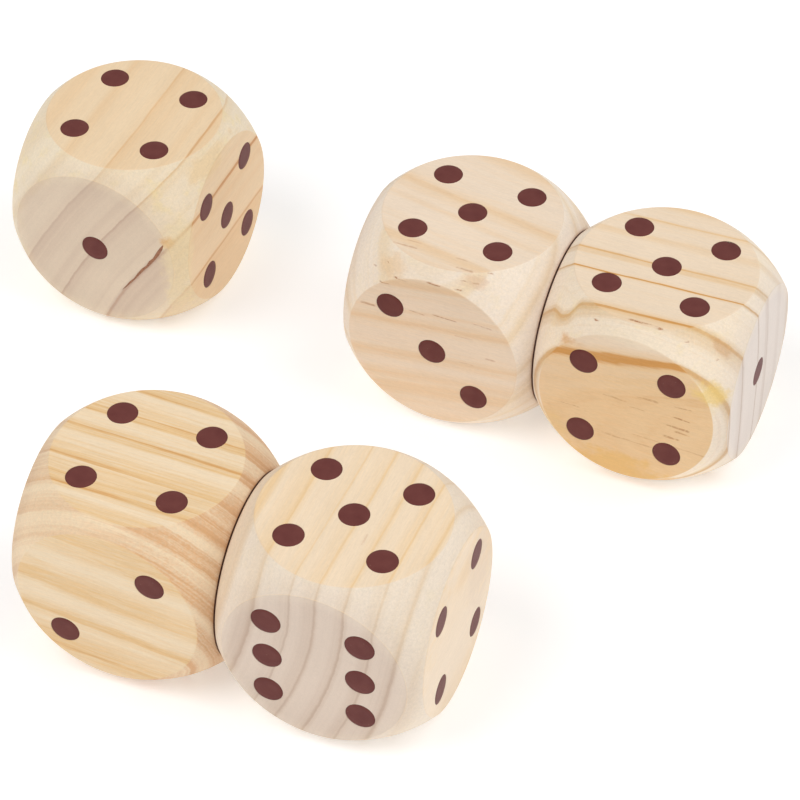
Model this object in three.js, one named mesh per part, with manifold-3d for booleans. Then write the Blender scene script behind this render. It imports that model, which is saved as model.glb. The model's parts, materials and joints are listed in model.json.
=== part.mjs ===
// Giant yard dice: a set of five loose dice turned from solid pine, lying as they came to rest after a throw.
// Each die is a cube whose edges and corners are turned away to a ball, which leaves a round flat on every face.
// Its pips are stamped into the flats. Opposite faces add up to seven.
// Millimetres, +Z up. The origin is on the ground, in the middle of the set's footprint.
import * as THREE from "three";
import { mergeVertices } from "three/addons/utils/BufferGeometryUtils.js";
import Module from "manifold-3d";

// Driving dimensions of a die
const SIDE = 90; // across two opposite flats
const BALL_RADIUS = 60; // of the ball that its edges and corners are turned to
const FLAT_RADIUS = Math.sqrt(BALL_RADIUS ** 2 - (SIDE / 2) ** 2);
const PIP_DIAMETER = 12.9;
const PIP_PITCH = 20; // from the centre line of a face to the pips beside it
const PIP_DEPTH = 0.3; // of the stamped recess that holds the ink

// Where the dice lie
const CONTACT_GAP = 0.5; // between two dice that lie face to face

// Facets
const GRID = 12; // divisions along each edge of the box that is drawn out into a die
const FLAT_SHARE = 2 / 3; // of a face's rings of grid cells that lie in its flat
const PIP_SIDES = 16;

const PINE = new THREE.MeshStandardMaterial({ color: 0xecd3b0, roughness: 0.62, metalness: 0 });

// Pip places on a face, in steps of the pip pitch along the face's two axes
const CENTRE = [[0, 0]];
const RISING_DIAGONAL = [[-1, -1], [1, 1]];
const FALLING_DIAGONAL = [[-1, 1], [1, -1]];
const CORNERS = [...RISING_DIAGONAL, ...FALLING_DIAGONAL];
const MIDDLES = [[-1, 0], [1, 0]];

// The faces of a die that lies with 5 up and 4 in front. right and up are the face's own axes.
const X = new THREE.Vector3(1, 0, 0);
const Y = new THREE.Vector3(0, 1, 0);
const Z = new THREE.Vector3(0, 0, 1);
const FACES = {
  1: { normal: X, right: Y, up: Z, pips: CENTRE },
  2: { normal: Z.clone().negate(), right: X, up: Y, pips: FALLING_DIAGONAL },
  3: { normal: Y, right: X, up: Z, pips: [...CENTRE, ...RISING_DIAGONAL] },
  4: { normal: Y.clone().negate(), right: X, up: Z, pips: CORNERS },
  5: { normal: Z, right: X, up: Y, pips: [...CENTRE, ...CORNERS] },
  6: { normal: X.clone().negate(), right: Y, up: Z, pips: [...CORNERS, ...MIDDLES] },
};

// The throw: each cluster is one die, or two that lie face to face, and yaw turns it about its first die's centre.
const CLUSTERS = [
  { x: -129, y: 99.5, yaw: 0, dice: [{ name: "die_1", top: 4, front: 1 }] },
  {
    x: 38.5,
    y: 96.5,
    yaw: 0,
    dice: [
      { name: "die_2", top: 5, front: 3 },
      { name: "die_3", top: 5, front: 4 },
    ],
  },
  {
    x: -23.5,
    y: -98,
    yaw: 2.2,
    dice: [
      { name: "die_4", top: 4, front: 2 },
      { name: "die_5", top: 5, front: 6 },
    ],
  },
];

const manifold = await Module();
manifold.setup();

// A closed three.js geometry as a solid that can be joined and cut.
function solidOf(geometry) {
  const bare = geometry.clone();
  bare.deleteAttribute("normal");
  bare.deleteAttribute("uv");
  const merged = mergeVertices(bare);
  return new manifold.Manifold(
    new manifold.Mesh({
      numProp: 3,
      vertProperties: merged.attributes.position.array,
      triVerts: new Uint32Array(merged.index.array),
    }),
  );
}

function geometryOf(solid) {
  const mesh = solid.getMesh();
  const geometry = new THREE.BufferGeometry();
  geometry.setAttribute("position", new THREE.BufferAttribute(mesh.vertProperties, 3));
  geometry.setIndex(new THREE.BufferAttribute(mesh.triVerts, 1));
  geometry.computeVertexNormals();
  return geometry;
}

// Where a vertex of a box two units wide ends up on the die. Inner rings of a face's grid become circles in the
// flat, the next ring its rim, and the rings outside that lie on the ball, out to the middle line between two flats.
function placeOnDie(vertex, normal) {
  const inFace = vertex.clone().sub(normal);
  const ring = Math.max(Math.abs(inFace.x), Math.abs(inFace.y), Math.abs(inFace.z));
  const flatCentre = normal.clone().multiplyScalar(SIDE / 2);
  if (ring === 0) {
    return flatCentre;
  }
  const [x, y, z] = inFace.toArray().map((share) => Math.tan((share / ring) * (Math.PI / 4)));
  const onBoxEdge = new THREE.Vector3(x, y, z);
  const rim = onBoxEdge.clone().setLength(FLAT_RADIUS).add(flatCentre);
  if (ring <= FLAT_SHARE) {
    return flatCentre.lerp(rim, ring / FLAT_SHARE);
  }
  const middleLine = onBoxEdge.clone().add(normal).setLength(BALL_RADIUS);
  return rim.lerp(middleLine, (ring - FLAT_SHARE) / (1 - FLAT_SHARE)).setLength(BALL_RADIUS);
}

// The turned block: a finely divided box, every vertex of which is drawn onto the flats or the ball.
function blockGeometry() {
  const block = new THREE.BoxGeometry(2, 2, 2, GRID, GRID, GRID);
  const { position, normal } = block.attributes;
  for (let i = 0; i < position.count; i++) {
    const vertex = new THREE.Vector3().fromBufferAttribute(position, i);
    const placed = placeOnDie(vertex, new THREE.Vector3().fromBufferAttribute(normal, i));
    position.setXYZ(i, ...placed);
  }
  return block;
}

// The stamp that presses one pip: it reaches PIP_DEPTH into the flat, and as far out of it.
function pipStampGeometry(face, [stepRight, stepUp]) {
  const radius = PIP_DIAMETER / 2;
  const place = face.normal
    .clone()
    .multiplyScalar(SIDE / 2)
    .addScaledVector(face.right, stepRight * PIP_PITCH)
    .addScaledVector(face.up, stepUp * PIP_PITCH);
  return new THREE.CylinderGeometry(radius, radius, 2 * PIP_DEPTH, PIP_SIDES)
    .applyQuaternion(new THREE.Quaternion().setFromUnitVectors(Y, face.normal))
    .translate(...place);
}

// One die, centred on the origin, with 5 up and 4 in front.
function dieGeometry() {
  let die = solidOf(blockGeometry());
  for (const face of Object.values(FACES)) {
    for (const step of face.pips) {
      die = die.subtract(solidOf(pipStampGeometry(face, step)));
    }
  }
  return geometryOf(die);
}

// The turn that brings the face numbered top up and the face numbered front to the front.
function turnTo(top, front) {
  const up = FACES[top].normal;
  const back = FACES[front].normal.clone().negate();
  const right = back.clone().cross(up);
  const turn = new THREE.Matrix4().makeBasis(right, back, up).transpose();
  return new THREE.Quaternion().setFromRotationMatrix(turn);
}

const dieShape = dieGeometry();
const set = new THREE.Group();
for (const cluster of CLUSTERS) {
  const group = new THREE.Group();
  group.position.set(cluster.x, cluster.y, SIDE / 2);
  group.rotation.z = THREE.MathUtils.degToRad(cluster.yaw);
  cluster.dice.forEach(({ name, top, front }, place) => {
    const die = new THREE.Mesh(dieShape, PINE);
    die.name = name;
    die.position.x = place * (SIDE + CONTACT_GAP);
    die.quaternion.copy(turnTo(top, front));
    group.add(die);
  });
  set.add(group);
}

export default set;
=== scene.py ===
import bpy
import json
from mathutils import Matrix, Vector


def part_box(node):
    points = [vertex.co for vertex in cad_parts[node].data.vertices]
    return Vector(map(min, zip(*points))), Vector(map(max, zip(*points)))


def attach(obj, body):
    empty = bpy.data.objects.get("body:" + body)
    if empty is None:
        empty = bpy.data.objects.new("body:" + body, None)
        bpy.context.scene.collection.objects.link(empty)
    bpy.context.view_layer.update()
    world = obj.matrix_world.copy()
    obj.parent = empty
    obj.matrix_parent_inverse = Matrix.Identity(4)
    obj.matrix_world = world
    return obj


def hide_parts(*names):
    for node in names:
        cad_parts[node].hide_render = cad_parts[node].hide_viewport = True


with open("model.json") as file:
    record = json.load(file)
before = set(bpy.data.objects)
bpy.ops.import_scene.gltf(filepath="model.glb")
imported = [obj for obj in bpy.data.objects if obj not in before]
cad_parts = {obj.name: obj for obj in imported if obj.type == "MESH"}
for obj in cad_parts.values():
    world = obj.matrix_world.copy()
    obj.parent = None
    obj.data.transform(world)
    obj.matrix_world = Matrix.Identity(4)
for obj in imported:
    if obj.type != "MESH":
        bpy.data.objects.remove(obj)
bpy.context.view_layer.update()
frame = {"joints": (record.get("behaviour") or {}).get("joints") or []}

# Five loose yard dice of solid pine, lying as thrown. Each CAD die is replaced by a finely turned block
# with the same size and place, and by the ink films in its stamped pips. Lengths inside a die are
# millimetres from its centre, with x to its right, y to its back and z up as it lies at rest.

import json
import math

import bpy
import numpy as np
from mathutils import Matrix, Vector, noise
from mathutils.geometry import delaunay_2d_cdt

MM = 0.001

# --------------------------------------------------------------------------------------------------
# Sizes, the same as the CAD's

HALF_SIDE = 45.0
BALL_RADIUS = 60.0
PIP_RADIUS = 6.45
PIP_PITCH = 20.0
PIP_DEPTH = 0.3

# Finish of the turned block
RIM_ROUNDING = 0.9  # radius of the sanded edge between a flat and the ball
RIM_POINTS = 144  # around a flat; a multiple of 8, so that neighbouring faces share their border points
ROUNDING_STEPS = 4
BALL_STEPS = 9
HAND_SANDING = 0.16  # how far the ball's surface wanders
SANDING_WAVE = 17.0
SANDING_ONSET = 0.25  # how far past the rim it wanders in full, as a share of the rim's own radius squared
SAME_POINT = 1e-5  # points of a flat that are closer than this become one

# Finish of a pip
PIP_POINTS = 56
LIP = 0.16  # width of the wood pressed down around a pip
INK_GAP = 0.02  # between the ink film and the wood beside it
INK_LEVEL = -0.09  # of the film's middle, from the flat
INK_WANDER = 0.05  # of the film's edge in long waves
INK_RAGGED = 0.03  # and in short ones
INK_WAVES = 1.7  # how many waves there are, by the radius of the circle on which the noise is read

# Sections as (distance beyond the pip's edge, height from the flat, how much the normal rises): the recess
# from its lip down to its floor, and the ink film from its underside up to its middle
RECESS_SECTION = [
    (LIP, 0.0, 1.0),
    (LIP * 0.35, -0.03, 0.8),
    (0.0, -0.1, 0.3),
    (0.0, -PIP_DEPTH, 0.0),
]
INK_SECTION = [
    (0.0, -PIP_DEPTH + 0.01, 0.0),
    (0.0, -0.19, 0.35),
    (-0.07, -0.14, 0.75),
    (-0.3, INK_LEVEL - 0.015, 0.98),
    (-2.5, INK_LEVEL, 1.0),
]

# --------------------------------------------------------------------------------------------------
# How a die is numbered: the face's outward normal, the axes that its pips are laid out on, and their
# places in steps of the pip pitch. The die lies with 5 up and 4 in front.

X, Y, Z = Vector((1, 0, 0)), Vector((0, 1, 0)), Vector((0, 0, 1))
RISING = [(-1, -1), (1, 1)]
FALLING = [(-1, 1), (1, -1)]
FACES = {
    1: (X, Y, Z, [(0, 0)]),
    2: (-Z, X, Y, FALLING),
    3: (Y, X, Z, [(0, 0)] + RISING),
    4: (-Y, X, Z, RISING + FALLING),
    5: (Z, X, Y, [(0, 0)] + RISING + FALLING),
    6: (-X, Y, Z, RISING + FALLING + [(-1, 0), (1, 0)]),
}

# How each die lies
LYING = {
    "die_1": {"top": 4, "front": 1},
    "die_2": {"top": 5, "front": 3},
    "die_3": {"top": 5, "front": 4},
    "die_4": {"top": 4, "front": 2},
    "die_5": {"top": 5, "front": 6},
}

# Chips in the ink: die, number, pip, then where on its outline in degrees, how deep and how wide
INK_CHIPS = {("die_3", 5, (1, 1)): [(98, 1.0, 0.55), (83, 0.35, 0.5)]}

# The drying crack in die_1's front flat: its middle line as (x, z), and its half width along it
CRACK = [
    ((35.2, 13.6), 0.20),
    ((34.2, 11.4), 0.71),
    ((32.3, 7.6), 0.86),
    ((30.2, 3.8), 0.61),
    ((28.2, 1.2), 0.81),
    ((26.4, -1.8), 0.51),
    ((24.3, -4.2), 0.63),
    ((21.7, -8.0), 0.56),
    ((19.5, -11.6), 0.33),
    ((17.1, -14.6), 0.46),
    ((15.0, -17.6), 0.27),
    ((13.0, -20.2), 0.10),
]
CRACK_DEPTH = 0.22
CRACK_TAPER = 0.06  # how much narrower it is at the bottom, on either side


def turn_to(top, front):
    """The turn that brings one number up and another to the front."""
    up, back = FACES[top][0], -FACES[front][0]
    return Matrix((back.cross(up), back, up))


# --------------------------------------------------------------------------------------------------
# The turned block


class Shell:
    """Points with their normals, and the faces between them."""

    def __init__(self):
        self.points, self.normals, self.faces, self.slots = [], [], [], []

    def add(self, points, normals, faces, slot=0):
        start = len(self.points)
        self.points += [tuple(p) for p in points]
        self.normals += [tuple(n) for n in normals]
        self.faces += [[start + i for i in face] for face in faces]
        self.slots += [slot] * len(faces)

    def add_rings(self, rings, slot=0):
        """Quads between rings of equally many (point, normal) pairs, anticlockwise seen from outside."""
        count = len(rings[0])
        quads = [
            [k * count + i, k * count + j, (k + 1) * count + j, (k + 1) * count + i]
            for k in range(len(rings) - 1)
            for i in range(count)
            for j in [(i + 1) % count]
        ]
        flat = [pair for ring in rings for pair in ring]
        self.add([p for p, _ in flat], [n for _, n in flat], quads, slot)

    def mesh(self, name):
        """The shell as a closed mesh: points that coincide become one, and keep their normals."""
        points = np.array(self.points)
        _, first, to = np.unique(
            np.round(points, 3), axis=0, return_index=True, return_inverse=True
        )
        to = to.ravel()
        mesh = bpy.data.meshes.new(name)
        mesh.from_pydata(points[first].tolist(), [], [to[f].tolist() for f in self.faces])
        mesh.polygons.foreach_set("material_index", self.slots)
        mesh.polygons.foreach_set("use_smooth", [True] * len(mesh.polygons))
        mesh.update()
        normals = np.array(self.normals)[first]
        normals /= np.linalg.norm(normals, axis=1)[:, None]
        mesh.normals_split_custom_set_from_vertices(normals.tolist())
        place = mesh.attributes.new("in_die", "FLOAT_VECTOR", "POINT")
        place.data.foreach_set("vector", points[first].astype(np.float32).ravel())
        return mesh


def circle(radius, count, wobble=None):
    """Points of a circle, anticlockwise. wobble changes the radius at an angle."""
    angles = [math.tau * i / count for i in range(count)]
    radii = [radius + (wobble(a) if wobble else 0) for a in angles]
    return [Vector((r * math.cos(a), r * math.sin(a))) for r, a in zip(radii, angles)]


def crack_outline(flat, grow=0.0):
    """The crack's outline in a flat's own axes, anticlockwise, and wider by grow on either side."""
    places = [Vector((x, 0, z)) for (x, z), _ in CRACK]
    middles = [Vector((p.dot(flat.right), p.dot(flat.up))) for p in places]
    left, right = [], []
    for i, (middle, (_, half)) in enumerate(zip(middles, CRACK)):
        along = (middles[min(i + 1, len(CRACK) - 1)] - middles[max(i - 1, 0)]).normalized()
        across = Vector((-along.y, along.x)) * (half + grow)
        left.append(middle + across)
        right.append(middle - across)
    outline = right + left[::-1]
    area = sum(a.cross(b) for a, b in zip(outline, outline[1:] + outline[:1]))
    return outline if area > 0 else outline[::-1]


def inside(point, outline):
    """Whether a point lies within an outline: a line to its right then crosses it an odd number of times."""
    crossings = 0
    for a, b in zip(outline, outline[1:] + outline[:1]):
        if (a.y > point.y) != (b.y > point.y):
            crossings += point.x < a.x + (point.y - a.y) / (b.y - a.y) * (b.x - a.x)
    return crossings % 2 == 1


def ball_point(direction):
    """Where a direction meets the ball, as hand sanding left it."""
    outward = direction.normalized()
    on_ball = outward * BALL_RADIUS
    rim_squared = BALL_RADIUS**2 - HALF_SIDE**2
    from_axis_squared = BALL_RADIUS**2 - on_ball.dot(on_ball) * max(map(abs, outward)) ** 2
    share = min(1.0, max(0.0, (from_axis_squared / rim_squared - 1) / SANDING_ONSET))
    wave = noise.noise(on_ball / SANDING_WAVE)
    return on_ball.normalized() * (BALL_RADIUS + HAND_SANDING * share * wave)


class Flat:
    """One numbered face: its place in the die and the way from its own plane into the die."""

    def __init__(self, number, turn):
        normal, right, up, self.pips = FACES[number]
        self.normal, self.right, self.up = turn @ normal, turn @ right, turn @ up
        # Right and up have to run anticlockwise seen from outside
        if self.right.cross(self.up).dot(self.normal) < 0:
            self.right = -self.right
            self.pips = [(-a, b) for a, b in self.pips]

    def place(self, point, height=0.0):
        """The point of the die at a place in the flat's own plane, or at a height from it."""
        return self.right * point[0] + self.up * point[1] + self.normal * (HALF_SIDE + height)

    def aim(self, outward, rise):
        """A normal that leans outward in the flat's plane and rises from it."""
        return (self.right * outward[0] + self.up * outward[1] + self.normal * rise).normalized()


def pip_centre(step):
    return Vector((step[0] * PIP_PITCH, step[1] * PIP_PITCH))


def pip_rings(flat, step, section, way, wobble=None):
    """Rings round a pip that follow a section. Their normals lean away from it, or to it if way is -1."""
    centre = pip_centre(step)
    rings = []
    for beyond, height, rise in section:
        lean = way * math.sqrt(1 - rise**2)
        rings.append([
            (flat.place(centre + p, height), flat.aim(p.normalized() * lean, rise))
            for p in circle(PIP_RADIUS + beyond, PIP_POINTS, wobble)
        ])
    return rings


def add_cap(shell, ring, turn=1, slot=0):
    """A face within a ring of (point, normal) pairs. A turn of -1 makes it face the other way."""
    shell.add([p for p, _ in ring], [n for _, n in ring], [list(range(len(ring)))[::turn]], slot)


def add_plane(shell, flat, rim, holes):
    """The flat itself, out to its rim and around its holes."""
    outlines = [rim] + holes
    corners = [p for outline in outlines for p in outline]
    edges, start = [], 0
    for outline in outlines:
        n = len(outline)
        edges += [(start + i, start + (i + 1) % n) for i in range(n)]
        start += n
    within_rim = 1
    found = delaunay_2d_cdt(corners, edges, [list(range(len(rim)))], within_rim, SAME_POINT)
    points, triangles = found[0], found[2]
    kept = []
    for triangle in triangles:
        middle = sum((points[i] for i in triangle), Vector((0, 0))) / 3
        if not any(inside(middle, hole) for hole in holes):
            a, b, c = (points[i] for i in triangle)
            kept.append(triangle if (b - a).cross(c - a) > 0 else triangle[::-1])
    shell.add([flat.place(p) for p in points], [flat.normal] * len(points), kept)


def add_rim_and_ball(shell, flat, rim, ball_lean):
    """The sanded edge, from the flat to the lean of the ball, then the ball up to midway to the next flat."""
    rings = []
    for k in range(ROUNDING_STEPS + 1):
        lean = ball_lean * k / ROUNDING_STEPS
        rings.append([
            (
                flat.place(
                    p + p.normalized() * RIM_ROUNDING * math.sin(lean),
                    RIM_ROUNDING * (math.cos(lean) - 1),
                ),
                flat.aim(p.normalized() * math.sin(lean), math.cos(lean)),
            )
            for p in rim
        ])
    starts = [point for point, _ in rings[-1]]
    outward = [p / max(abs(p.x), abs(p.y)) for p in rim]
    middle_line = [
        (flat.right * p.x + flat.up * p.y + flat.normal).normalized() * BALL_RADIUS
        for p in outward
    ]
    for k in range(1, BALL_STEPS + 1):
        ring = [
            ball_point(a.lerp(b, k / BALL_STEPS)) for a, b in zip(starts, middle_line)
        ]
        rings.append([(p, p.normalized()) for p in ring])
    shell.add_rings([ring[::-1] for ring in rings])


def add_crack(shell, flat, outline):
    """The walls and the floor of the crack."""
    top = [(flat.place(p), flat.normal) for p in outline]
    deep = crack_outline(flat, grow=-CRACK_TAPER)
    bottom = [(flat.place(p, -CRACK_DEPTH), flat.normal) for p in deep]
    shell.add_rings([top, bottom], slot=1)
    add_cap(shell, bottom, slot=1)


def add_flat(shell, flat, crack=None):
    """The round flat with its pip recesses and its crack, its sanded rim and its share of the ball."""
    rounding_centre = BALL_RADIUS - RIM_ROUNDING, HALF_SIDE - RIM_ROUNDING
    centre_radius = math.sqrt(rounding_centre[0] ** 2 - rounding_centre[1] ** 2)
    rim = circle(centre_radius, RIM_POINTS)
    holes = [
        [pip_centre(step) + p for p in circle(PIP_RADIUS + LIP, PIP_POINTS)] for step in flat.pips
    ]
    if crack:
        holes.append(crack)
    add_plane(shell, flat, rim, holes)
    add_rim_and_ball(shell, flat, rim, math.atan2(centre_radius, rounding_centre[1]))
    for step in flat.pips:
        rings = pip_rings(flat, step, RECESS_SECTION, -1)
        shell.add_rings(rings)
        add_cap(shell, [(point, flat.normal) for point, _ in rings[-1]])
    if crack:
        add_crack(shell, flat, crack)


def ink_outline(seed, chips):
    """The radius of an ink film's edge at an angle, in millimetres from nominal."""
    def wobble(angle):
        where = Vector((math.cos(angle) * INK_WAVES, math.sin(angle) * INK_WAVES, seed))
        change = INK_WANDER * noise.noise(where) + INK_RAGGED * noise.noise(where * 3)
        for at, depth, width in chips:
            off = (angle - math.radians(at) + math.pi) % math.tau - math.pi
            change -= depth * math.exp(-((off * PIP_RADIUS / width) ** 2))
        return min(0.0, change - INK_GAP)
    return wobble


def add_ink(shell, flat, step, seed, chips):
    """The ink film in one pip: a thin disc that is pressed a little below the flat, with a soft edge."""
    rings = pip_rings(flat, step, INK_SECTION, 1, ink_outline(seed, chips))
    shell.add_rings(rings)
    add_cap(shell, rings[0], turn=-1)
    add_cap(shell, rings[-1])


# --------------------------------------------------------------------------------------------------
# Materials


class Signal:
    """A value or vector inside a material's node tree, so that a pattern can be written as a formula."""

    def __init__(self, tree, socket):
        self.tree, self.socket = tree, socket

    def __add__(self, other):
        return self.tree.maths("ADD", self, other)

    def __sub__(self, other):
        return self.tree.maths("SUBTRACT", self, other)

    def __mul__(self, other):
        return self.tree.maths("MULTIPLY", self, other)

    def __truediv__(self, other):
        return self.tree.maths("DIVIDE", self, other)

    __radd__ = __add__


class Material:
    """A node material that is built up from signals."""

    def __init__(self, name):
        self.material = bpy.data.materials.new(name)
        self.material.use_nodes = True
        self.nodes = self.material.node_tree.nodes
        self.links = self.material.node_tree.links
        self.surface = self.nodes["Principled BSDF"]

    def feed(self, socket, value):
        if isinstance(value, Signal):
            self.links.new(value.socket, socket)
        else:
            socket.default_value = value

    def maths(self, operation, *values):
        node = self.nodes.new("ShaderNodeMath")
        node.operation = operation
        for socket, value in zip(node.inputs, values):
            self.feed(socket, value)
        return Signal(self, node.outputs[0])

    def absolute(self, value):
        return self.maths("ABSOLUTE", value)

    def biggest(self, *values):
        found = values[0]
        for value in values[1:]:
            found = self.maths("MAXIMUM", found, value)
        return found

    def place(self):
        """The place in the die, in millimetres: x, y and z."""
        node = self.nodes.new("ShaderNodeAttribute")
        node.attribute_name = "in_die"
        split = self.nodes.new("ShaderNodeSeparateXYZ")
        self.links.new(node.outputs["Vector"], split.inputs[0])
        return [Signal(self, socket) for socket in split.outputs]

    def vector(self, x, y, z):
        node = self.nodes.new("ShaderNodeCombineXYZ")
        for socket, value in zip(node.inputs, (x, y, z)):
            self.feed(socket, value)
        return Signal(self, node.outputs[0])

    def distance(self, *parts):
        """The length of a vector with these parts."""
        node = self.nodes.new("ShaderNodeVectorMath")
        node.operation = "LENGTH"
        parts = list(parts) + [0.0] * (3 - len(parts))
        self.links.new(self.vector(*parts).socket, node.inputs[0])
        return Signal(self, node.outputs["Value"])

    def noise(self, where, scale=1.0, detail=2.0, roughness=0.5):
        """Noise from about -1 to 1."""
        node = self.nodes.new("ShaderNodeTexNoise")
        node.inputs["Scale"].default_value = scale
        node.inputs["Detail"].default_value = detail
        node.inputs["Roughness"].default_value = roughness
        self.links.new(where.socket, node.inputs["Vector"])
        return (Signal(self, node.outputs[0]) - 0.5) * 2.0

    def openness(self, reach, samples):
        """How much of what is within reach, in millimetres, is free: 1 in the open, 0 in a narrow gap."""
        node = self.nodes.new("ShaderNodeAmbientOcclusion")
        node.samples = samples
        node.inputs["Distance"].default_value = reach * MM
        return Signal(self, node.outputs["AO"])

    def cells(self, where):
        """For a field of scattered points: how far the nearest is, and a random number that belongs to it."""
        node = self.nodes.new("ShaderNodeTexVoronoi")
        node.inputs["Scale"].default_value = 1.0
        self.links.new(where.socket, node.inputs["Vector"])
        split = self.nodes.new("ShaderNodeSeparateColor")
        self.links.new(node.outputs["Color"], split.inputs[0])
        return Signal(self, node.outputs["Distance"]), Signal(self, split.outputs[0])

    def fade(self, value, start, end, low=0.0, high=1.0):
        """A smooth step from the low level, at start, to the high one, at end."""
        node = self.nodes.new("ShaderNodeMapRange")
        node.interpolation_type = "SMOOTHSTEP"
        self.feed(node.inputs[0], value)
        for socket, number in zip(node.inputs[1:5], (start, end, low, high)):
            socket.default_value = number
        return Signal(self, node.outputs[0])

    def ramp(self, value, stops):
        """A signal that follows value through stops of (place, level), of which there are at most 32."""
        node = self.nodes.new("ShaderNodeValToRGB")
        elements = node.color_ramp.elements
        elements.remove(elements[1])
        elements[0].position = stops[0][0]
        elements[0].color = (*[stops[0][1]] * 3, 1.0)
        for place, level in stops[1:]:
            elements.new(place).color = (level, level, level, 1.0)
        self.feed(node.inputs[0], value)
        split = self.nodes.new("ShaderNodeSeparateColor")
        self.links.new(node.outputs[0], split.inputs[0])
        return Signal(self, split.outputs[0])

    def colour(self, first, second, share, blend="MIX"):
        """The first colour, with a share of the second one laid over it."""
        node = self.nodes.new("ShaderNodeMix")
        node.data_type = "RGBA"
        node.blend_type = blend
        self.feed(node.inputs[0], share)
        for socket, value in zip((node.inputs[6], node.inputs[7]), (first, second)):
            self.feed(socket, rgb(value) if isinstance(value, str) else value)
        return Signal(self, node.outputs[2])

    def bump(self, height, depth):
        """Relief from a height signal that is worth depth millimetres per unit."""
        node = self.nodes.new("ShaderNodeBump")
        node.inputs["Strength"].default_value = 1.0
        node.inputs["Distance"].default_value = depth * MM
        self.links.new(height.socket, node.inputs["Height"])
        self.links.new(node.outputs[0], self.surface.inputs["Normal"])


def rgb(code):
    """A hexadecimal colour as Blender's linear one."""
    parts = [int(code[i : i + 2], 16) / 255 for i in (0, 2, 4)]
    linear = [p / 12.92 if p <= 0.04045 else ((p + 0.055) / 1.055) ** 2.4 for p in parts]
    return (*linear, 1.0)


# --------------------------------------------------------------------------------------------------
# The wood of each die
#
# fibre, lean      the axis that the fibres run along, and how far out of line they are in the other two axes
# pith             the middle of the stem, in the other two axes
# rings            outward from the pith as (distance, how late the wood is), in stretches that start and end
#                  with early wood, because a ramp has a limited number of stops
# swell            from and to along y + z, and how far the rings move outward there
# knot             rings that bend round a knot: from and to along the fibres on either side, from and to in
#                  distance from the pith on either side, and how far they bend
# flat, end        colours of the flats and of the end grain: early wood, late wood, the darkest line
# ball             colours of the turned ball: early wood, late wood
# pale_ball        from and to in distance from the pith: nearer than that, the ball shows no late wood
# faint_ball       from and to along x: beyond that, the ball shows its late wood half as strongly
# tubes            resin canals that the surface cuts lengthwise: from and to along the fibres, the other two
#                  axes, how dark
# stains_and_painted_light  centre, radii, colour, strength of stains, and of a few patches of painted light
# streaky, yellow  how much fibres differ from each other, and how much of the ball is yellowish
# neighbour        the side that touches another die, where shade is painted into the gap: 1 is right, -1 left, 0 neither
# seed             sets the die's noises apart from those of the others

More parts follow.
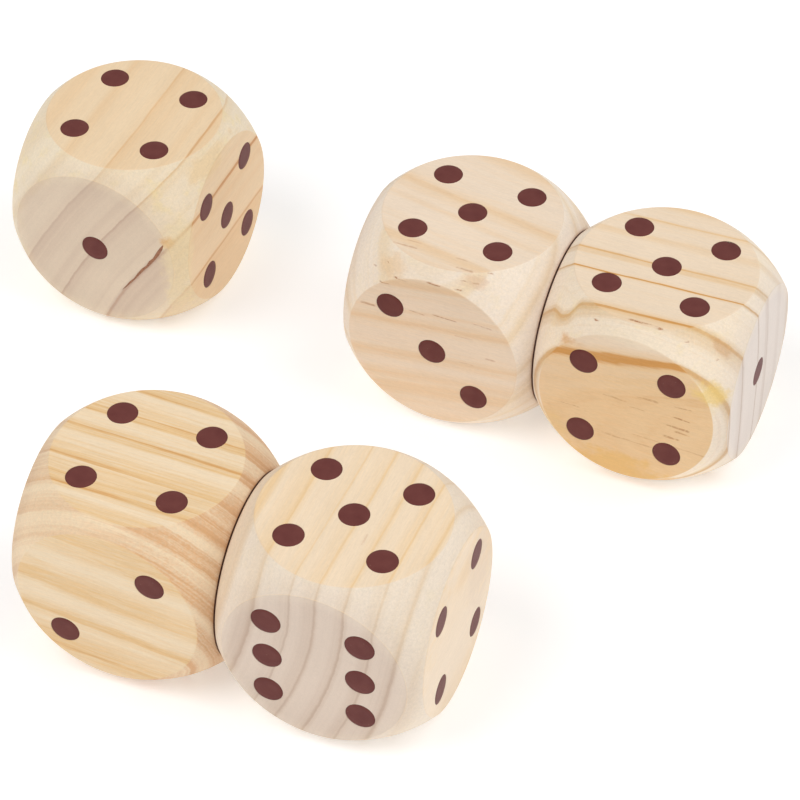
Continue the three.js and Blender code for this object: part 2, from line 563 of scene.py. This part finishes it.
WOOD = {
    "die_1": {
        "fibre": "y",
        "lean": (0.0, 0.0),
        "pith": (268, -174),
        "rings": [
            [
                (250, 0), (256, 0.6), (270, 0.75), (272.5, 1), (275.2, 1.05), (275.8, 1.5), (276.3, 1.4),
                (276.8, 0.4), (278, 0.15), (283, 0.3), (285.5, 0.55), (288, 0.35), (291.2, 0.8), (293, 0.5),
                (295.2, 0.7), (295.9, 1.2), (296.4, 1.9), (297, 1.9), (297.6, 0.6), (298.8, 0),
            ],
            [
                (298.8, 0), (302, 0.1), (303.2, 0.3), (305, 0.12), (309, 0.05), (314, 0.15), (316.5, 0.55),
                (318.6, 0.6), (319.3, 1.5), (319.8, 1.5), (320.2, 0.2), (323, 0.2), (325, 0.5), (328, 0.15),
                (332, 0.25), (335, 0.5), (337, 0.45), (339.8, 0.75), (340.6, 0.9), (341, 1.3), (341.4, 1.2),
                (341.9, 0.25), (344, 0.15), (347.3, 0),
            ],
            [
                (347.3, 0), (350, 0.1), (352.5, 0.25), (354.5, 0.2), (356.8, 0.55), (358.7, 0.75),
                (360.3, 0.2), (361.5, 0), (364.5, 0.15), (367.5, 0.1), (370.5, 0.5), (373, 0.6), (375.5, 0.4),
                (378, 0.1), (384, 0),
            ],
        ],
        "flat": ("eed4b0", "e9c69a", "c98c50"),
        "ball": ("f0e0c6", "e9d0aa"),
        "end": ("decbb4", "cdb5a0", "bf9f8a"),
        "tubes": [],
        "stains_and_painted_light": [
            ((36.5, -44, 15.5), (5, 4, 3.5), "dca860", 0.7),
            ((40, -40, 4), (9, 9, 34), "efdcae", 0.5),
            ((43, -12, 39), (6, 26, 7), "ebcd9c", 0.65),
        ],
        "streaky": 0.45,
        "yellow": 0.5,
        "neighbour": 0,
        "seed": 3.1,
    },
    "die_2": {
        "fibre": "x",
        "lean": (-0.07, 0.055),
        "pith": (90, -120),
        "rings": [
            [
                (86, 0), (89, 0.2), (92, 0.8), (92.8, 0), (97, 0.1), (101, 0.7), (102, 0), (107, 0.15),
                (110.5, 0.8), (111.5, 0.05), (116, 0.2), (120, 0.9), (121, 0), (126, 0.2), (129.5, 0.7),
                (130.5, 0), (135, 0.1), (139, 0.85), (140, 0), (144, 0.2), (148.5, 0.8), (150, 0.05),
                (152, 0),
            ],
            [
                (152, 0), (156, 0.4), (157.5, 0.75), (159, 0.5), (163, 0.5), (165.3, 1.1), (166.5, 1),
                (168.3, 0.55), (169.8, 0.8), (171.5, 0.5), (173.3, 0), (174.8, 0.15), (177.2, 0.95),
                (178.6, 0.75), (180, 0.15), (184, 0), (187.5, 0.2), (189.7, 0.9), (190.6, 1), (191.6, 0.45),
                (193.5, 0.15), (195.3, 0.5), (196.4, 0.1), (198.5, 0), (202, 0.2), (204.5, 0.2), (206, 0.95),
                (207.5, 0.85), (209, 0.3), (212, 0.6), (214, 0.1), (216, 0),
            ],
        ],
        "swell": (-10, 50, 4.5),
        "flat": ("efdac2", "ebcca7", "c8965f"),
        "ball": ("f6e7d5", "f0dabb"),
        "end": ("dfcdbf", "cdb6a4", "ad8873"),
        "tubes": [
            (-10, -4.5, -45, 20.5, 0.45), (1.2, 10.6, -45, 21.7, 0.7), (20.4, 27, -45, 22.8, 0.4),
            (-33.5, -28, -45, 17.4, 0.5), (26, 29, -45, 5, 0.4), (11.5, 18.5, -45, 13.6, 0.3),
            (14, 19, -45, -1, 0.3), (-18.6, -13.1, -44.4, 36.7, 0.9), (-24.8, -21.3, -44.7, 32.2, 0.8),
            (-1.7, 2.6, -44.9, 39.3, 0.8), (10.7, 12.6, -43.9, 39.3, 0.8), (-23.4, -13.6, -32, 45, 0.5),
            (-18, -13, -28.4, 45, 0.3), (-31, -28.2, -38.7, 34.9, 0.6), (-24.8, -22.2, -39, 39, 0.5),
            (6, 12.3, -31.2, 45, 0.4), (8.5, 14.4, -36.7, 45, 0.5), (21.3, 23.3, -33.8, 44.3, 0.6),
            (17, 19, -39.4, 41.5, 0.5), (12, 13.5, -40.6, 42.3, 0.5),
        ],
        "stains_and_painted_light": [
            ((-22, -41, 40), (10, 6, 6), "ecc797", 0.45),
            ((16, -39, 42), (9, 5, 4), "dfb994", 0.5),
        ],
        "streaky": 0.8,
        "yellow": 0.15,
        "neighbour": 1,
        "seed": 8.4,
    },
    "die_3": {
        "fibre": "x",
        "lean": (0.05, 0.0),
        "pith": (-200, -15),
        "rings": [
            [
                (140, 0), (150, 1.1), (155.5, 1.15), (156.5, 1.2), (157.5, 0.85), (159.5, 0.8), (160, 1.1),
                (160.5, 2), (161.4, 2), (161.9, 0.5), (163, 0), (170, 0.1), (173, 0.5), (174.2, 0.6),
                (175.8, 1), (176.4, 2), (177.1, 2), (177.6, 0.7), (178.8, 0.4), (180.3, 0.1), (181.5, 0),
                (189, 0.08), (195, 0), (196.3, 0.5), (196.6, 2), (197.1, 2), (197.4, 0.3), (199, 0),
            ],
            [
                (204.8, 0), (206, 0.6), (208.2, 0.8), (208.7, 1.4), (209.2, 1.3), (209.7, 0.3), (211.5, 0),
                (219.5, 0), (221.5, 0.25), (223, 0.5), (224.5, 0.5), (226, 0.1), (227, 0), (232, 0.05),
                (233.6, 0.3), (235, 0.6), (235.4, 1.2), (235.9, 1), (236.3, 0.2), (238, 0), (243, 0.1),
                (247, 0.8), (249, 0.9), (250, 0.1), (253, 0.5), (256, 0),
            ],
        ],
        "knot": ((-40, -33), (-26, -31), (165, 171), (190, 182), 4.2),
        "flat": ("efd9be", "e9c698", "d39851"),
        "ball": ("f5e4cd", "e0bf92"),
        "pale_ball": (157.5, 160),
        "end": ("e1d4ca", "d3c3b7", "c2ab9b"),
        "tubes": [
            (6, 14, -45, 9, 0.4), (-9.5, 0, -45, 4.4, 0.4), (3, 8, -45, 2, 0.4), (23, 29, -45, 9.3, 0.5),
            (22.5, 28.6, -45, 2.7, 0.75), (20, 28.6, -45, -2.7, 0.6), (24, 29, -45, -5, 0.5),
            (19, 24.5, -45, -9.5, 0.55), (-29, -22, -45, -7, 0.5), (5, 37, -45, -14, 0.3),
            (-9.5, 12, -45, -18, 0.35), (-2.2, 11.5, -38.4, 45, 1), (-18.1, -16.3, -40.3, 41, 0.9),
            (19.7, 25.8, -37.5, 40.9, 0.6), (35, 37.1, -34.7, 33, 0.6),
        ],
        "stains_and_painted_light": [
            ((36, -30.5, 37), (10, 2.6, 8), "cfa072", 0.5),
            ((-8, -45, -38), (40, 9, 12), "e6b972", 0.8),
            ((-34, -42, -24), (10, 9, 14), "e6c184", 0.55),
            ((37, -42, 19), (10, 6, 7.5), "eccb7c", 0.75),
            # Painted light: a paler crescent along the top of the front flat, as bright as the better-lit
            # ball above it
            ((0, -45, 41), (44, 4, 5.5), "f3e2c8", 0.6),
            ((-32, -45, 30), (11, 3, 6), "dca25c", 0.65),
            ((-30, 32, 45), (14, 8, 3), "eedcc6", 0.4),
        ],
        "streaky": 0.6,
        "yellow": 0.3,
        "neighbour": -1,
        "seed": 5.7,
    },
    "die_4": {
        "fibre": "x",
        "lean": (-0.02, -0.07),
        "pith": (225, 105),
        "rings": [
            [
                (180, 0), (188, 0.6), (195, 0.65), (197, 0.75), (198, 0.7), (199.5, 0.95), (200.5, 1.3),
                (201.2, 0.9), (201.8, 0.1), (203.4, 0), (206, 0.15), (210, 0.5), (213.4, 0.75), (214, 1.4),
                (214.8, 1.2), (215.5, 0.75), (217, 1.2), (217.7, 0.8), (218.1, 0.05), (220.4, 0.2),
                (222, 0.12), (224, 0.35), (226, 0.8), (226.5, 1.45), (227.2, 1.35), (228, 0.75), (229.8, 1),
                (230.4, 0.6), (231.4, 0),
            ],
            [
                (231.4, 0), (234, 0.1), (236, 0.2), (238, 0.5), (239.3, 0.65), (240.7, 0.58), (243, 0.9),
                (244.2, 1.3), (244.9, 1.1), (245.4, 0.45), (250, 0.6), (253.2, 0.75), (253.7, 1.2),
                (254.3, 0.65), (256.5, 0.95), (257.6, 1.4), (258.4, 1.3), (259, 0.8), (260.3, 0.3),
                (261.6, 0),
            ],
            [
                (262.8, 0), (264, 0.3), (265.4, 0.62), (268.5, 0.8), (270.4, 0.9), (271.3, 0.3),
                (272.3, 0.1), (275, 0.3), (277, 0.6), (279.5, 0.85), (281.4, 0.7), (282.2, 0.2), (283.2, 0),
                (284, 0), (285, 0.4), (286.3, 0.65), (288.8, 1), (289.6, 0.5), (290.4, 0.2), (291.3, 0),
                (293.5, 0.35), (294.8, 1.2), (295.4, 1), (295.9, 0.4), (297.2, 0.1), (299, 0.45), (301, 0.82),
                (302.6, 1.2), (303.2, 0.8), (306, 0.4), (310, 0),
            ],
        ],
        "flat": ("f1dab9", "e7c28e", "d39a59"),
        "ball": ("f0d8b6", "ddae80"),
        "faint_ball": (15, -30),
        "end": ("dcbf9f", "be9673", "ad8873"),
        "tubes": [],
        "stains_and_painted_light": [],
        "streaky": 1.3,
        "yellow": 0.0,
        "neighbour": 1,
        "seed": 1.9,
    },
    "die_5": {
        "fibre": "y",
        "lean": (0.02, 0.0),
        "pith": (-178, 45),
        "rings": [
            [
                (128, 0), (132, 0.5), (138, 0.7), (140.8, 1.1), (142, 0.6), (143.5, 0.05), (147, 0.15),
                (150.5, 0.45), (152.5, 0.5), (154, 0.8), (154.5, 1.2), (155, 1.2), (155.4, 0.5), (157.5, 0),
                (159.5, 0.1), (163, 0), (166, 0.2), (169.2, 0.3), (169.7, 0.9), (170.1, 0.8), (170.4, 0.2),
                (172, 0), (176, 0.2), (179.8, 0.4), (180.4, 1.05), (180.9, 1), (181.2, 0.4), (182.6, 0),
                (187.5, 0),
            ],
            [
                (187.5, 0), (190, 0.25), (191.8, 0.5), (192.4, 1.1), (192.9, 1.05), (193.2, 0.4), (195, 0),
                (200, 0.05), (202.5, 0.4), (204.3, 0.5), (204.8, 1.05), (205.3, 1), (205.7, 0.3),
                (208, 0.1), (210.5, 0.2), (212, 0.1), (214.8, 0.5), (215.5, 1), (216.1, 0.95),
                (216.6, 0.4), (217.8, 0), (220, 0), (222.6, 0.2), (224, 0.5), (225, 0.45), (228, 0.15),
                (230, 0), (233.5, 0.05), (236.5, 0.5), (238, 0.6), (239, 0.1), (242, 0),
            ],
        ],
        "flat": ("f1dabc", "eccb9d", "dba965"),
        "ball": ("efdfcb", "e7d0b3"),
        "end": ("dfccbb", "c8af9b", "b08f7c"),
        "tubes": [(20, 25, -23, 45, 0.3), (-14, -9, 9, 45, 0.25)],
        "stains_and_painted_light": [
            # Painted sheen: a paler, whiter tone over the whole right flat
            ((45, -4, -6), (2.5, 60, 60), "efe0d0", 0.35),
            ((44, 8, 22), (4, 16, 8), "e8c79c", 0.5),
            ((45, 24, 12), (4, 18, 26), "e4cdb5", 0.5),
        ],
        "streaky": 0.5,
        "yellow": 0.1,
        "neighbour": -1,
        "seed": 6.6,
    },
}

# --------------------------------------------------------------------------------------------------
# What the wood of all dice has in common

# How far noises move the rings, from the slowest to the finest one
RING_WANDER = (0.9, 0.5, 0.22)

# Lateness: 0 is early wood, 1 late wood and 2 the darkest line. Stripes follow the rings and streaks the
# fibres, and both make the wood later or less late everywhere. Stripes do so once more within late wood.
LATE, DARKEST = 1.0, 2.0
STRIPES, STREAKS = 0.5, 0.45
STRIPES_IN_LATE = 0.5

# Where the wood passes from one look to another: from and to, counted from the die's middle
ONTO_BALL = (HALF_SIDE - 0.1, HALF_SIDE - 0.45)
ONTO_END = (HALF_SIDE - 0.3, HALF_SIDE - 0.1)
BALL_GREYS = (36, HALF_SIDE)  # along the fibres, towards the end grain
BALL_GREY = 0.38
END_WARMS = (34, 39.6)  # out from the middle of the end grain
END_WARM = 0.45
LINE_ON_BALL = 0.42  # how strongly the darkest lines show there
YELLOWISH = "efd9a0"

# Stains and patches of painted light, in shares of their radii: they fade from outside to inside, and noises
# make them ragged
STAIN_AND_LIGHT_FADE = (1.1, 0.4)
FINE_RAG, STREAK_RAG, MOTTLE_RAG = 0.4, 0.25, 0.8

# A tube fades from its wall to its core, and by degrees beyond its ends. It wanders, tilts and is broken.
TUBE_COLOUR = "ac6a34"
TUBE_FADE = (0.55, 0.05)
TUBE_BEYOND_END = 0.35  # how much a step beyond its end counts, against one across it
TUBE_FLATNESS = 0.6  # how much a step sideways counts, against one across it
TUBE_TILT = 0.03
TINY_TUBE_WANDER, FINE_TUBE_WANDER = 1.1, 0.6
TUBE_BREAKS = (-0.35, 0.1)  # levels of the noise that breaks it
TUBE_BROKEN = 0.35  # how dark it is in its breaks, against 1 elsewhere

# Painted shade in the gap between two dice: darker colours laid into the wood where little is open, as
# (colour, from and to in openness, strength)
GAP_REACH = 3.0
GAP_SAMPLES = 6
GAP_SIDE = (HALF_SIDE - 4, HALF_SIDE - 2)
GAP_PAINTED_SHADES = [("9a6030", (0.85, 0.35), 0.65), ("662a02", (0.52, 0.22), 1.0)]

# How much each noise changes the wood's tone, and its relief in units of RELIEF
STREAK_TONE, HAIR_TONE, CLOUD_TONE, FUZZ_TONE, BALL_FUZZ_TONE = 0.07, 0.085, 0.05, 0.05, 0.07
RELIEF = 0.03
STREAK_RELIEF, HAIR_RELIEF, LATE_RELIEF, BALL_FUZZ_RELIEF = 0.5, 0.4, 0.3, 0.5

# Gloss of sanded pine: streaks and the ball are rougher, late wood smoother
ROUGHNESS = 0.62
STREAK_ROUGHNESS, LATE_ROUGHNESS, BALL_ROUGHNESS = 0.05, -0.05, 0.05
PINE_SPECULAR = 0.25
PINE_SHEEN, PINE_SHEEN_ROUGHNESS = 0.12, 0.5


class Pine(Material):
    """Pine with growth rings, fibres and resin canals, greyer on end grain and paler on the turned ball."""

    def __init__(self, name, grain):
        super().__init__(name)
        self.grain, self.seed = grain, grain["seed"]
        self.x, self.y, self.z = self.place()
        in_line = (self.x, self.y) if grain["fibre"] == "x" else (self.y, self.x)
        self.along, self.a, self.b = (*in_line, self.z)
        self.slow = self.fibrous(70, 45, (0, 0, self.seed), detail=1.0)
        self.fine = self.fibrous(26, 5, (0, self.seed, 0))
        self.tiny = self.fibrous(9, 1.1, (0, 0, self.seed))
        self.streaks = self.fibrous(18, 0.9, (0, 0, self.seed), detail=3.0, roughness=0.6)
        self.hairs = self.fibrous(3.5, 0.4, roughness=0.6)
        self.clouds = self.fibrous(40, 24, (self.seed, 0, 0))
        patches = self.vector(self.x / 7 + self.seed, self.y / 7, self.z / 7)
        self.mottle = self.noise(patches, detail=4.0, roughness=0.6)
        everywhere = self.vector(self.x, self.y, self.z)
        self.fuzz = self.noise(everywhere, scale=0.75, detail=3.0, roughness=0.7)

    def fibrous(self, length, width, shift=(0, 0, 0), detail=2.0, roughness=0.5):
        """Noise in patches this long along the fibres and this wide across them, in millimetres."""
        axes = zip((self.along, self.a, self.b), (length, width, width), shift)
        where = self.vector(*(axis / size + move for axis, size, move in axes))
        return self.noise(where, detail=detail, roughness=roughness)

    def ring_radius(self):
        """The distance from the pith. The rings wander along the fibres, and a little across them."""
        lean_a, lean_b = self.grain["lean"]
        pith_a, pith_b = self.grain["pith"]
        off_pith = self.a - self.along * lean_a - pith_a, self.b - self.along * lean_b - pith_b
        radius = self.distance(*off_pith)
        for wander, most in zip((self.slow, self.fine, self.tiny), RING_WANDER):
            radius = radius + wander * most
        if "swell" in self.grain:
            start, end, most = self.grain["swell"]
            radius = radius + self.fade(self.y + self.z, start, end) * most
        if "knot" in self.grain:
            before, beyond, inner, outer, most = self.grain["knot"]
            bent = self.fade(self.along + self.fine, *beyond) * self.fade(self.along, *before)
            radius = radius + bent * self.fade(radius, *inner) * self.fade(radius, *outer) * most
        return radius

    def lateness(self, radius):
        """How late the wood is: its rings, with stripes within a ring and streaks where fibres differ."""
        late = 0.0
        for stops in self.grain["rings"]:
            low, span = stops[0][0], stops[-1][0] - stops[0][0]
            levels = [((place - low) / span, level / DARKEST) for place, level in stops]
            late = self.ramp((radius - low) / span, levels) + late
        late = late * DARKEST
        streaky = self.grain["streaky"]
        where = self.vector(radius * 0.8, self.along / 90, self.seed)
        stripes = self.noise(where, detail=3.0, roughness=0.75)
        extra = (stripes * STRIPES + self.streaks * STREAKS) * streaky
        return self.biggest(late * (1.0 + stripes * streaky * STRIPES_IN_LATE) + extra, 0.0)

    def ringed(self, early_colour, late_colour, line_colour, share, darkest):
        """Colours of early and late wood, and of the darkest line over them."""
        return self.colour(self.colour(early_colour, late_colour, share), line_colour, darkest)

    def clean(self, radius, late, on_ball):
        """The colour of clean wood on the flats, on the ball and on the end grain."""
        grain = self.grain
        share = self.maths("MINIMUM", late, LATE)
        darkest = self.fade(late, LATE, DARKEST)
        colour = self.ringed(*grain["flat"], share, darkest)

        ball_share = share
        if "pale_ball" in grain:
            ball_share = ball_share * self.fade(radius, *grain["pale_ball"])
        if "faint_ball" in grain:
            ball_share = ball_share * self.fade(self.x, *grain["faint_ball"], 1.0, 0.5)
        line = grain["flat"][2]
        ball = self.ringed(*grain["ball"], line, ball_share, darkest * LINE_ON_BALL)
        ball = self.colour(ball, YELLOWISH, self.fade(self.mottle, 0.0, 0.5) * grain["yellow"])

        # Fibre ends are greyer. The wood turns to that by degrees, from the ball to the middle of the end.
        end = self.ringed(*grain["end"], share, darkest)
        along = self.absolute(self.along)
        ball = self.colour(ball, end, self.fade(along, *BALL_GREYS) * BALL_GREY)
        off_middle = self.distance(self.a, self.b)
        end = self.colour(end, ball, self.fade(off_middle, *END_WARMS) * END_WARM)
        colour = self.colour(colour, ball, on_ball)
        return self.colour(colour, end, self.fade(along, *ONTO_END))

    def with_stains_and_painted_light(self, colour):
        """The colour with its ragged stains, and with a few patches of painted light."""
        ragged = self.fine * FINE_RAG + self.streaks * STREAK_RAG + self.mottle * MOTTLE_RAG
        for centre, radii, patch_colour, strength in self.grain["stains_and_painted_light"]:
            parts = [(p - c) / r for p, c, r in zip((self.x, self.y, self.z), centre, radii)]
            patch = self.fade(self.distance(*parts) + ragged, *STAIN_AND_LIGHT_FADE)
            colour = self.colour(colour, patch_colour, patch * strength)
        return colour

    def with_tubes(self, colour):
        """The colour with its resin canals."""
        breaks = self.fade(self.fibrous(1.6, 3), *TUBE_BREAKS)
        for start, stop, tube_a, tube_b, dark in self.grain["tubes"]:
            beyond = self.absolute(self.along - (start + stop) / 2) - (stop - start) / 2
            beyond = self.biggest(beyond, 0.0) * TUBE_BEYOND_END
            wander = self.tiny * TINY_TUBE_WANDER + self.fine * FINE_TUBE_WANDER
            rise = wander + self.along * TUBE_TILT - start * TUBE_TILT - tube_b
            off = self.distance(beyond, (self.a - tube_a) * TUBE_FLATNESS, self.b + rise)
            tube = self.fade(off, *TUBE_FADE) * (TUBE_BROKEN + breaks * (1 - TUBE_BROKEN))
            colour = self.colour(colour, TUBE_COLOUR, tube * dark)
        return colour

    def painted_gap_shade(self, colour):
        """Painted shade: in the narrow gap between two dice, where light only comes out after it has met wood
        many times, the colour is painted darker brown.
        """
        open_sky = self.openness(GAP_REACH, GAP_SAMPLES)
        beside = self.fade(self.x * self.grain["neighbour"], *GAP_SIDE)
        for shade, between, strength in GAP_PAINTED_SHADES:
            colour = self.colour(colour, shade, self.fade(open_sky, *between) * beside * strength)
        return colour

    def toned(self, colour, on_ball):
        """The colour with the tone of single fibres, and on the ball with that of sanding fuzz."""
        fuzz = self.fuzz * (FUZZ_TONE + on_ball * BALL_FUZZ_TONE)
        fibres = 1.0 + self.streaks * STREAK_TONE + self.hairs * HAIR_TONE
        tone = fibres + self.clouds * CLOUD_TONE + fuzz
        return self.colour(colour, self.vector(tone, tone, tone), 1.0, "MULTIPLY")


def pine(name, grain):
    """The finished wood of one die."""
    wood = Pine(name, grain)
    radius = wood.ring_radius()
    late = wood.lateness(radius)
    biggest = wood.biggest(*(wood.absolute(part) for part in (wood.x, wood.y, wood.z)))
    on_ball = wood.fade(biggest, *ONTO_BALL)

    colour = wood.with_tubes(wood.with_stains_and_painted_light(wood.clean(radius, late, on_ball)))
    # Painted shade in the gap beside a touching die
    if grain["neighbour"]:
        colour = wood.painted_gap_shade(colour)
    wood.feed(wood.surface.inputs["Base Color"], wood.toned(colour, on_ball))

    rough = ROUGHNESS + wood.streaks * STREAK_ROUGHNESS + late * LATE_ROUGHNESS
    wood.feed(wood.surface.inputs["Roughness"], rough + on_ball * BALL_ROUGHNESS)
    wood.surface.inputs["Specular IOR Level"].default_value = PINE_SPECULAR
    wood.surface.inputs["Sheen Weight"].default_value = PINE_SHEEN
    wood.surface.inputs["Sheen Roughness"].default_value = PINE_SHEEN_ROUGHNESS
    fibres = wood.streaks * STREAK_RELIEF + wood.hairs * HAIR_RELIEF + late * LATE_RELIEF
    wood.bump(fibres + wood.fuzz * on_ball * BALL_FUZZ_RELIEF, RELIEF)
    return wood.material


# The crack's torn wood and the pips' ink
RESIN_DARK, TORN_PALE = "8a5439", "bd8867"
TORN_ROUGHNESS = 0.7
TORN_RELIEF = 0.1
INK, INK_FADED, INK_DEEP, INK_SPECK = "653532", "72403b", "4d2523", "8f6a5c"
INK_ROUGHNESS = 0.42
INK_SPECULAR = 0.1
INK_RELIEF = 0.02


def crack_material():
    """The torn, resin-dark wood inside the crack."""
    torn = Material("crack_wood")
    x, y, z = torn.place()
    grit = torn.noise(torn.vector(x * 1.3, y * 2.2, z * 1.3), detail=4.0, roughness=0.7)
    colour = torn.colour(RESIN_DARK, TORN_PALE, grit * 1.2 + 0.45)
    torn.feed(torn.surface.inputs["Base Color"], colour)
    torn.feed(torn.surface.inputs["Roughness"], grit * 0.1 + TORN_ROUGHNESS)
    torn.bump(grit, TORN_RELIEF)
    return torn.material


def ink_material():
    """Burgundy brown ink, hot-stamped so that the fibres show through as faint relief."""
    ink = Material("pip_ink")
    x, y, z = ink.place()
    where = ink.vector(x, y, z)
    clouds = ink.noise(where, scale=0.16, detail=2.0)
    grit = ink.noise(where, scale=2.6, detail=3.0, roughness=0.7)
    colour = ink.colour(INK, INK_FADED, clouds * 0.9 + 0.5)
    colour = ink.colour(colour, INK_DEEP, ink.fade(grit, 0.1, 0.8) * 0.5)

    # A few of many scattered points are pale specks
    away, luck = ink.cells(ink.vector(x * 0.55, y * 0.55, z * 0.55))
    speck = ink.fade(away, 0.2, 0.1) * ink.fade(luck, 0.88, 0.9)
    colour = ink.colour(colour, INK_SPECK, speck * 0.4)
    ink.feed(ink.surface.inputs["Base Color"], colour)
    ink.feed(ink.surface.inputs["Roughness"], INK_ROUGHNESS + grit * 0.06)
    ink.surface.inputs["Specular IOR Level"].default_value = INK_SPECULAR
    ink.bump(grit, INK_RELIEF)
    return ink.material


# --------------------------------------------------------------------------------------------------
# The dice

crack_wood = crack_material()
pip_ink = ink_material()
yaws = {
    joint["child"]: math.atan2(joint["axis"][1], joint["axis"][0]) for joint in frame["joints"]
}


def in_scene(name, data):
    """A new object that shows this data."""
    placed = bpy.data.objects.new(name, data)
    bpy.context.scene.collection.objects.link(placed)
    return placed


def set_down(mesh, name, body):
    """An object from a mesh in a die's millimetres, put where the CAD die lies and riding on its body."""
    low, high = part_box(body)
    to_frame = (
        Matrix.Translation((low + high) / 2)
        @ Matrix.Rotation(yaws.get(body, 0.0), 4, "Z")
        @ Matrix.Scale(MM, 4)
    )
    turned = to_frame.to_3x3().normalized()
    corner_normals = [turned @ Vector(corner.vector) for corner in mesh.corner_normals]
    mesh.transform(to_frame)
    mesh.normals_split_custom_set([n.normalized() for n in corner_normals])
    piece = in_scene(name, mesh)
    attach(piece, body)
    return piece


for index, (body, lying) in enumerate(LYING.items()):
    turn = turn_to(**lying)
    block, film = Shell(), Shell()
    for number in FACES:
        flat = Flat(number, turn)
        cracked = body == "die_1" and number == lying["front"]
        add_flat(block, flat, crack_outline(flat) if cracked else None)
        for count, step in enumerate(flat.pips):
            seed = index * 50 + number * 7 + count  # a number of its own for every pip
            add_ink(film, flat, step, seed, INK_CHIPS.get((body, number, step), []))
    block_mesh = block.mesh(f"{body}_wood")
    block_mesh.materials.append(pine(f"{body}_pine", WOOD[body]))
    if body == "die_1":
        block_mesh.materials.append(crack_wood)
    wood_piece = set_down(block_mesh, f"{body}_wood", body)
    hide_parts(body)
    film_mesh = film.mesh(f"{body}_pips")
    film_mesh.materials.append(pip_ink)
    set_down(film_mesh, f"{body}_pips", body)

# --------------------------------------------------------------------------------------------------
# Floor, light and camera

FLOOR_HALF = 30.0
FLOOR_LEVEL = -0.0002  # just under the dice, so that no two faces share a plane
FLOOR_GREY = 0.86
FLOOR_GLOW = 0.3

BRIGHT_SIDE = (0.92, 0.4, 0.0)  # the sky is brightest here and dimmest on the other side
SKY_DIM, SKY_BRIGHT = 0.3, 0.7
WALL = 0.72  # what the camera sees behind the set, instead of the sky

CAMERA_AZIMUTH = math.radians(23.5)
CAMERA_ELEVATION = math.radians(43.25)
CAMERA_DISTANCE = 1.5117
CAMERA_LENS = 150.66
CAMERA_SENSOR = 36.0
AIM = Vector((0.0190, 0.0614, 0.0))


def look_along(placed, direction):
    placed.rotation_mode = "QUATERNION"
    placed.rotation_quaternion = direction.to_track_quat("-Z", "Y")


def lay_floor():
    """A plain pale floor that glows a little, so that it stays pale around the dice."""
    corners = [
        (side_x * FLOOR_HALF, side_y * FLOOR_HALF, FLOOR_LEVEL)
        for side_x, side_y in ((-1, -1), (1, -1), (1, 1), (-1, 1))
    ]
    mesh = bpy.data.meshes.new("floor")
    mesh.from_pydata(corners, [], [(0, 1, 2, 3)])
    paper = Material("floor_paper")
    paper.surface.inputs["Base Color"].default_value = (FLOOR_GREY, FLOOR_GREY, FLOOR_GREY, 1)
    paper.surface.inputs["Roughness"].default_value = 0.9
    paper.surface.inputs["Specular IOR Level"].default_value = 0.0
    paper.surface.inputs["Emission Color"].default_value = (1, 1, 1, 1)
    paper.surface.inputs["Emission Strength"].default_value = FLOOR_GLOW
    mesh.materials.append(paper.material)
    in_scene("floor", mesh)


def light_sky():
    """A white sky that is brighter on one side. The camera sees a plain pale wall instead."""
    world = bpy.data.worlds.new("studio")
    world.use_nodes = True
    nodes, links = world.node_tree.nodes, world.node_tree.links
    nodes["Background"].inputs["Color"].default_value = (1, 1, 1, 1)
    to_side = nodes.new("ShaderNodeVectorMath")
    to_side.operation = "DOT_PRODUCT"
    to_side.inputs[1].default_value = BRIGHT_SIDE
    links.new(nodes.new("ShaderNodeTexCoord").outputs["Generated"], to_side.inputs[0])
    brightness = nodes.new("ShaderNodeMapRange")
    brightness.inputs["From Min"].default_value = -1.0
    brightness.inputs["To Min"].default_value = SKY_DIM
    brightness.inputs["To Max"].default_value = SKY_BRIGHT
    links.new(to_side.outputs["Value"], brightness.inputs["Value"])
    seen = nodes.new("ShaderNodeMix")
    seen.inputs["B"].default_value = WALL
    links.new(nodes.new("ShaderNodeLightPath").outputs["Is Camera Ray"], seen.inputs["Factor"])
    links.new(brightness.outputs[0], seen.inputs["A"])
    links.new(seen.outputs[0], nodes["Background"].inputs["Strength"])
    bpy.context.scene.world = world


def softbox(name, place, size, energy):
    """A round lamp that shines on the middle of the set."""
    light = bpy.data.lights.new(name, "AREA")
    light.shape = "DISK"
    light.size = size
    light.energy = energy
    lamp = in_scene(name, light)
    lamp.location = place
    look_along(lamp, -Vector(place))


def set_up_camera():
    data = bpy.data.cameras.new("camera")
    data.lens = CAMERA_LENS
    data.sensor_width = CAMERA_SENSOR
    camera = in_scene("camera", data)
    back = Vector((
        math.cos(CAMERA_ELEVATION) * math.sin(CAMERA_AZIMUTH),
        -math.cos(CAMERA_ELEVATION) * math.cos(CAMERA_AZIMUTH),
        math.sin(CAMERA_ELEVATION),
    ))
    camera.location = AIM + back * CAMERA_DISTANCE
    look_along(camera, -back)
    bpy.context.scene.camera = camera


lay_floor()
light_sky()
softbox("key", place=(-0.9, -1.0, 1.9), size=1.6, energy=22.2)
softbox("fill", place=(1.2, 0.3, 1.6), size=1.6, energy=10.6)
set_up_camera()
bpy.context.scene.view_settings.view_transform = "Standard"
